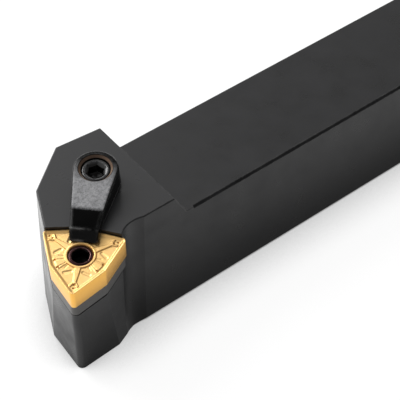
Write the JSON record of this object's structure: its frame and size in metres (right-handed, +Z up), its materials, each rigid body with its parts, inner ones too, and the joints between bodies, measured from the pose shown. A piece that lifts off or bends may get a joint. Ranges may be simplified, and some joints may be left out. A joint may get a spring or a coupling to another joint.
{
  "type": "turning tool holder",
  "caption": "Square-shank external turning tool holder with a coated trigon insert on a shim, held by a lock pin and a screw-down clamp.",
  "frame": {"origin": "centre of the shank's width on its underside, at the middle of the whole length", "axes": "+X from the tail to the cutting corner, +Y towards the side on which the corner stands out, +Z up"},
  "size_m": [0.15, 0.034, 0.0359],
  "materials": {
    "black_oxide_steel": "satin black oxide",
    "shim_grey": "ground, matte",
    "gold_coating": "gold titanium nitride coating",
    "pin_steel": "tempered dark purple-brown",
    "clamp_steel": "blasted and blackened forging",
    "screw_steel": "blackened"
  },
  "bodies": {
    "holder": {"holder_body": "black_oxide_steel", "shim": "shim_grey", "insert": "gold_coating"},
    "clamp": {"clamp": "clamp_steel"},
    "clamp_screw": {"clamp_screw": "screw_steel"},
    "lock_pin": {"lock_pin": "pin_steel"}
  },
  "joints": [
    {"name": "clamp_lift", "type": "slide", "parent": "holder", "child": "clamp", "axis": [0.1056, 0.1108, 0.9882], "range_m": [0, 0.003]},
    {"name": "clamp_screw_spin", "type": "hinge", "parent": "clamp", "child": "clamp_screw", "pos_m": [0.05429, -0.00084, 0.0346], "axis": [0.1056, 0.1108, 0.9882], "range_deg": [0, 540.01]},
    {"name": "lock_pin_turn", "type": "hinge", "parent": "holder", "child": "lock_pin", "pos_m": [0.06787, 0.01152, 0.02834], "axis": [0.1056, 0.1108, 0.9882], "range_deg": [0, 180]}
  ],
  "couplings": [
    {"joint": "clamp_screw_spin", "follows": "clamp_lift", "rad_per_m": 3141.6}
  ]
}
